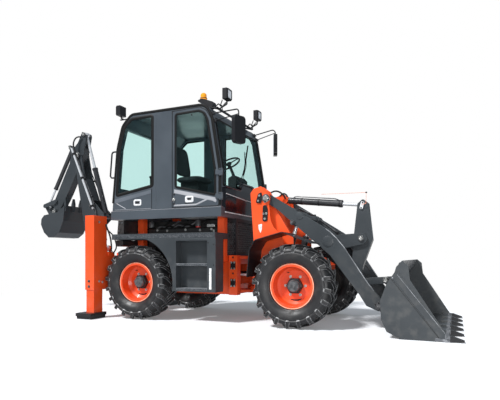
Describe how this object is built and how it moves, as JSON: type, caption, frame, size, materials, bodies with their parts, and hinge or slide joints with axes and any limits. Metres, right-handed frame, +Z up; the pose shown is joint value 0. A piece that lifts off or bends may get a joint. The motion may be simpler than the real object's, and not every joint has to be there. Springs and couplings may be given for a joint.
{
  "type": "backhoe loader",
  "caption": "Compact articulated backhoe loader with a glazed cab, a loader bucket on lift arms in front and a side-shifting digging arm and stabilisers behind.",
  "frame": {"origin": "centre of the bounding box's base, on the ground under the middle of the machine", "axes": "+X forward towards the loader bucket, +Y to the driver's left, +Z up"},
  "size_m": [7.0409, 2.44, 3.284],
  "materials": {
    "orange_paint": "gloss orange machine enamel",
    "grey_paint": "satin dark grey enamel",
    "cab_paint": "gloss dark grey metallic enamel",
    "black_paint": "semi-gloss black",
    "rim_paint": "gloss orange enamel",
    "tyre": "matt black rubber with a lugged tread",
    "rod_chrome": "polished hard chrome",
    "glass": "light green tinted safety glass",
    "cowl_gloss": "gloss black moulding",
    "black_plastic": "grained black moulding",
    "amber": "clear amber lens",
    "seat_cover": "black woven cover over foam",
    "engine_iron": "rough cast",
    "wear_steel": "dark steel"
  },
  "bodies": {
    "rear_body": {"rear_frame": "orange_paint", "rear_axle": "black_paint", "slide_frame": "orange_paint", "engine": "engine_iron", "radiator_guard": "black_paint", "cab_frame": "cab_paint", "cab_roof": "cab_paint", "cab_glass": "glass", "cowl": "cowl_gloss", "seat": "seat_cover", "controls": "black_plastic", "running_boards": "grey_paint", "step_boxes": "grey_paint", "work_lamps": "black_paint", "beacon": "amber", "mirrors": "black_paint", "grab_rails": "black_paint"},
    "front_body": {"front_frame": "orange_paint", "front_axle": "black_paint", "front_fenders": "grey_paint"},
    "wheel_front_right": {"tyre_front_right": "tyre", "rim_front_right": "rim_paint"},
    "wheel_front_left": {"tyre_front_left": "tyre", "rim_front_left": "rim_paint"},
    "wheel_rear_right": {"tyre_rear_right": "tyre", "rim_rear_right": "rim_paint"},
    "wheel_rear_left": {"tyre_rear_left": "tyre", "rim_rear_left": "rim_paint"},
    "arms": {"loader_arms": "grey_paint"},
    "crank": {"bell_crank": "grey_paint"},
    "link": {"bucket_link": "grey_paint"},
    "front_bucket": {"loader_bucket": "grey_paint"},
    "lift_barrel_pair": {"lift_barrels": "black_paint"},
    "lift_rod_pair": {"lift_rods": "rod_chrome"},
    "tilt_cylinder": {"tilt_barrel": "black_paint"},
    "tilt_piston": {"tilt_rod": "rod_chrome"},
    "steer_cylinder_right": {"steer_barrel_right": "black_paint"},
    "steer_piston_right": {"steer_rod_right": "rod_chrome"},
    "steer_cylinder_left": {"steer_barrel_left": "black_paint"},
    "steer_piston_left": {"steer_rod_left": "rod_chrome"},
    "right_door": {"door_right": "cab_paint", "door_glass_right": "glass"},
    "left_door": {"door_left": "cab_paint", "door_glass_left": "glass"},
    "right_stabiliser": {"stabiliser_leg_right": "orange_paint"},
    "left_stabiliser": {"stabiliser_leg_left": "orange_paint"},
    "shift_carriage": {"carriage": "orange_paint"},
    "swing": {"swing_post": "orange_paint"},
    "hoe_boom": {"boom": "grey_paint"},
    "hoe_stick": {"stick": "grey_paint"},
    "rear_bucket": {"hoe_bucket": "grey_paint"},
    "bucket_lever": {"tip_lever": "grey_paint"},
    "bucket_tip_link": {"tip_link": "grey_paint"},
    "boom_cylinder": {"boom_barrel": "black_paint"},
    "boom_piston": {"boom_rod": "rod_chrome"},
    "stick_cylinder": {"stick_barrel": "black_paint"},
    "stick_piston": {"stick_rod": "rod_chrome"},
    "bucket_cylinder": {"hoe_barrel": "black_paint"},
    "bucket_piston": {"hoe_rod": "rod_chrome"}
  },
  "joints": [
    {"name": "steering", "type": "hinge", "parent": "rear_body", "child": "front_body", "pos_m": [0.665, 0, 0.65], "axis": [0, 0, 1], "range_deg": [-25, 25]},
    {"name": "wheel_front_right_spin", "type": "hinge", "parent": "front_body", "child": "wheel_front_right", "pos_m": [1.525, -0.77, 0.5375], "axis": [0, 1, 0], "continuous": true},
    {"name": "wheel_front_left_spin", "type": "hinge", "parent": "front_body", "child": "wheel_front_left", "pos_m": [1.525, 0.77, 0.5375], "axis": [0, 1, 0], "continuous": true},
    {"name": "wheel_rear_right_spin", "type": "hinge", "parent": "rear_body", "child": "wheel_rear_right", "pos_m": [-0.855, -0.77, 0.5375], "axis": [0, 1, 0], "continuous": true},
    {"name": "wheel_rear_left_spin", "type": "hinge", "parent": "rear_body", "child": "wheel_rear_left", "pos_m": [-0.855, 0.77, 0.5375], "axis": [0, 1, 0], "continuous": true},
    {"name": "lift", "type": "hinge", "parent": "front_body", "child": "arms", "pos_m": [1.04, 0, 1.712], "axis": [0, -1, 0], "range_deg": [0, 75]},
    {"name": "tilt", "type": "hinge", "parent": "arms", "child": "front_bucket", "pos_m": [2.545, 0, 0.3], "axis": [0, 1, 0], "range_deg": [-40, 65]},
    {"name": "crank_turn", "type": "hinge", "parent": "arms", "child": "crank", "pos_m": [2.247, 0, 1.155], "axis": [0, -1, 0], "range_deg": [-20, 35]},
    {"name": "link_turn", "type": "hinge", "parent": "crank", "child": "link", "pos_m": [2.15, 0, 0.565], "axis": [0, -1, 0], "range_deg": [-45, 30]},
    {"name": "lift_barrel_turn", "type": "hinge", "parent": "front_body", "child": "lift_barrel_pair", "pos_m": [1.135, 0, 0.47], "axis": [0, -1, 0], "range_deg": [-5, 8]},
    {"name": "lift_rod_slide", "type": "slide", "parent": "lift_barrel_pair", "child": "lift_rod_pair", "axis": [0.2922, 0, 0.9564], "range_m": [0, 0.64]},
    {"name": "tilt_barrel_turn", "type": "hinge", "parent": "front_body", "child": "tilt_cylinder", "pos_m": [1.13, 0, 1.735], "axis": [0, -1, 0], "range_deg": [-5, 85]},
    {"name": "tilt_rod_slide", "type": "slide", "parent": "tilt_cylinder", "child": "tilt_piston", "axis": [0.9948, 0, -0.1017], "range_m": [-0.22, 0.14]},
    {"name": "steer_barrel_right_turn", "type": "hinge", "parent": "rear_body", "child": "steer_cylinder_right", "pos_m": [0.15, -0.25, 0.65], "axis": [0, 0, 1], "range_deg": [-8, 8]},
    {"name": "steer_rod_right_slide", "type": "slide", "parent": "steer_cylinder_right", "child": "steer_piston_right", "axis": [0.9995, -0.0325, 0], "range_m": [-0.13, 0.13]},
    {"name": "steer_barrel_left_turn", "type": "hinge", "parent": "rear_body", "child": "steer_cylinder_left", "pos_m": [0.15, 0.25, 0.65], "axis": [0, 0, 1], "range_deg": [-8, 8]},
    {"name": "steer_rod_left_slide", "type": "slide", "parent": "steer_cylinder_left", "child": "steer_piston_left", "axis": [0.9995, 0.0325, 0], "range_m": [-0.13, 0.13]},
    {"name": "door_right_swing", "type": "hinge", "parent": "rear_body", "child": "right_door", "pos_m": [0.505, -0.815, 1.9], "axis": [0, 0, 1], "range_deg": [0, 85]},
    {"name": "door_left_swing", "type": "hinge", "parent": "rear_body", "child": "left_door", "pos_m": [0.505, 0.815, 1.9], "axis": [0, 0, -1], "range_deg": [0, 85]},
    {"name": "stabiliser_right_lift", "type": "slide", "parent": "rear_body", "child": "right_stabiliser", "axis": [0, 0, 1], "range_m": [0, 0.33]},
    {"name": "stabiliser_left_lift", "type": "slide", "parent": "rear_body", "child": "left_stabiliser", "axis": [0, 0, 1], "range_m": [0, 0.33]},
    {"name": "side_shift", "type": "slide", "parent": "rear_body", "child": "shift_carriage", "axis": [0, 1, 0], "range_m": [-0.45, 0.45]},
    {"name": "swing", "type": "hinge", "parent": "shift_carriage", "child": "swing", "pos_m": [-1.88, 0, 0.66], "axis": [0, 0, 1], "range_deg": [-80, 80]},
    {"name": "boom", "type": "hinge", "parent": "swing", "child": "hoe_boom", "pos_m": [-2.29, 0, 0.64], "axis": [0, -1, 0], "range_deg": [0, 75]},
    {"name": "stick", "type": "hinge", "parent": "hoe_boom", "child": "hoe_stick", "pos_m": [-2.7, 0, 2.69], "axis": [0, 1, 0], "range_deg": [0, 95]},
    {"name": "rear_bucket", "type": "hinge", "parent": "hoe_stick", "child": "rear_bucket", "pos_m": [-3.238, 0, 1.724], "axis": [0, 1, 0], "range_deg": [0, 105]},
    {"name": "lever_turn", "type": "hinge", "parent": "hoe_stick", "child": "bucket_lever", "pos_m": [-3.235, 0, 1.905], "axis": [0, -1, 0], "range_deg": [-75, 5]},
    {"name": "tip_link_turn", "type": "hinge", "parent": "bucket_lever", "child": "bucket_tip_link", "pos_m": [-3.49, 0, 1.835], "axis": [0, -1, 0], "range_deg": [-5, 50]},
    {"name": "boom_barrel_turn", "type": "hinge", "parent": "hoe_boom", "child": "boom_cylinder", "pos_m": [-2.395, 0, 1.8], "axis": [0, -1, 0], "range_deg": [-5, 12]},
    {"name": "boom_rod_slide", "type": "slide", "parent": "boom_cylinder", "child": "boom_piston", "axis": [0.3105, 0, -0.9506], "range_m": [0, 0.53]},
    {"name": "stick_barrel_turn", "type": "hinge", "parent": "hoe_boom", "child": "stick_cylinder", "pos_m": [-2.14, 0, 1.6], "axis": [0, -1, 0], "range_deg": [-12, 5]},
    {"name": "stick_rod_slide", "type": "slide", "parent": "stick_cylinder", "child": "stick_piston", "axis": [-0.2945, 0, 0.9556], "range_m": [-0.56, 0]},
    {"name": "bucket_barrel_turn", "type": "hinge", "parent": "hoe_stick", "child": "bucket_cylinder", "pos_m": [-2.905, 0, 2.86], "axis": [0, -1, 0], "range_deg": [-8, 2]},
    {"name": "bucket_rod_slide", "type": "slide", "parent": "bucket_cylinder", "child": "bucket_piston", "axis": [-0.4957, 0, -0.8685], "range_m": [-0.32, 0]}
  ],
  "couplings": [
    {"joint": "crank_turn", "follows": "tilt", "ratio": 0.3871},
    {"joint": "link_turn", "follows": "tilt", "ratio": -0.6142},
    {"joint": "lift_barrel_turn", "follows": "lift", "ratio": 0.0221},
    {"joint": "lift_rod_slide", "follows": "lift", "m_per_rad": 0.477},
    {"joint": "tilt_barrel_turn", "follows": "lift", "ratio": 1.0641},
    {"joint": "tilt_rod_slide", "follows": "tilt", "m_per_rad": -0.17},
    {"joint": "steer_barrel_right_turn", "follows": "steering", "ratio": 0.1821},
    {"joint": "steer_barrel_left_turn", "follows": "steering", "ratio": 0.1821},
    {"joint": "steer_rod_right_slide", "follows": "steering", "m_per_rad": 0.2635},
    {"joint": "steer_rod_left_slide", "follows": "steering", "m_per_rad": -0.2635},
    {"joint": "lever_turn", "follows": "rear_bucket", "ratio": -0.683},
    {"joint": "tip_link_turn", "follows": "rear_bucket", "ratio": 0.425},
    {"joint": "bucket_barrel_turn", "follows": "rear_bucket", "ratio": -0.056},
    {"joint": "bucket_rod_slide", "follows": "rear_bucket", "m_per_rad": -0.1622},
    {"joint": "boom_barrel_turn", "follows": "boom", "ratio": 0.1285},
    {"joint": "boom_rod_slide", "follows": "boom", "m_per_rad": 0.385},
    {"joint": "stick_barrel_turn", "follows": "stick", "ratio": -0.1127},
    {"joint": "stick_rod_slide", "follows": "stick", "m_per_rad": -0.3262}
  ]
}
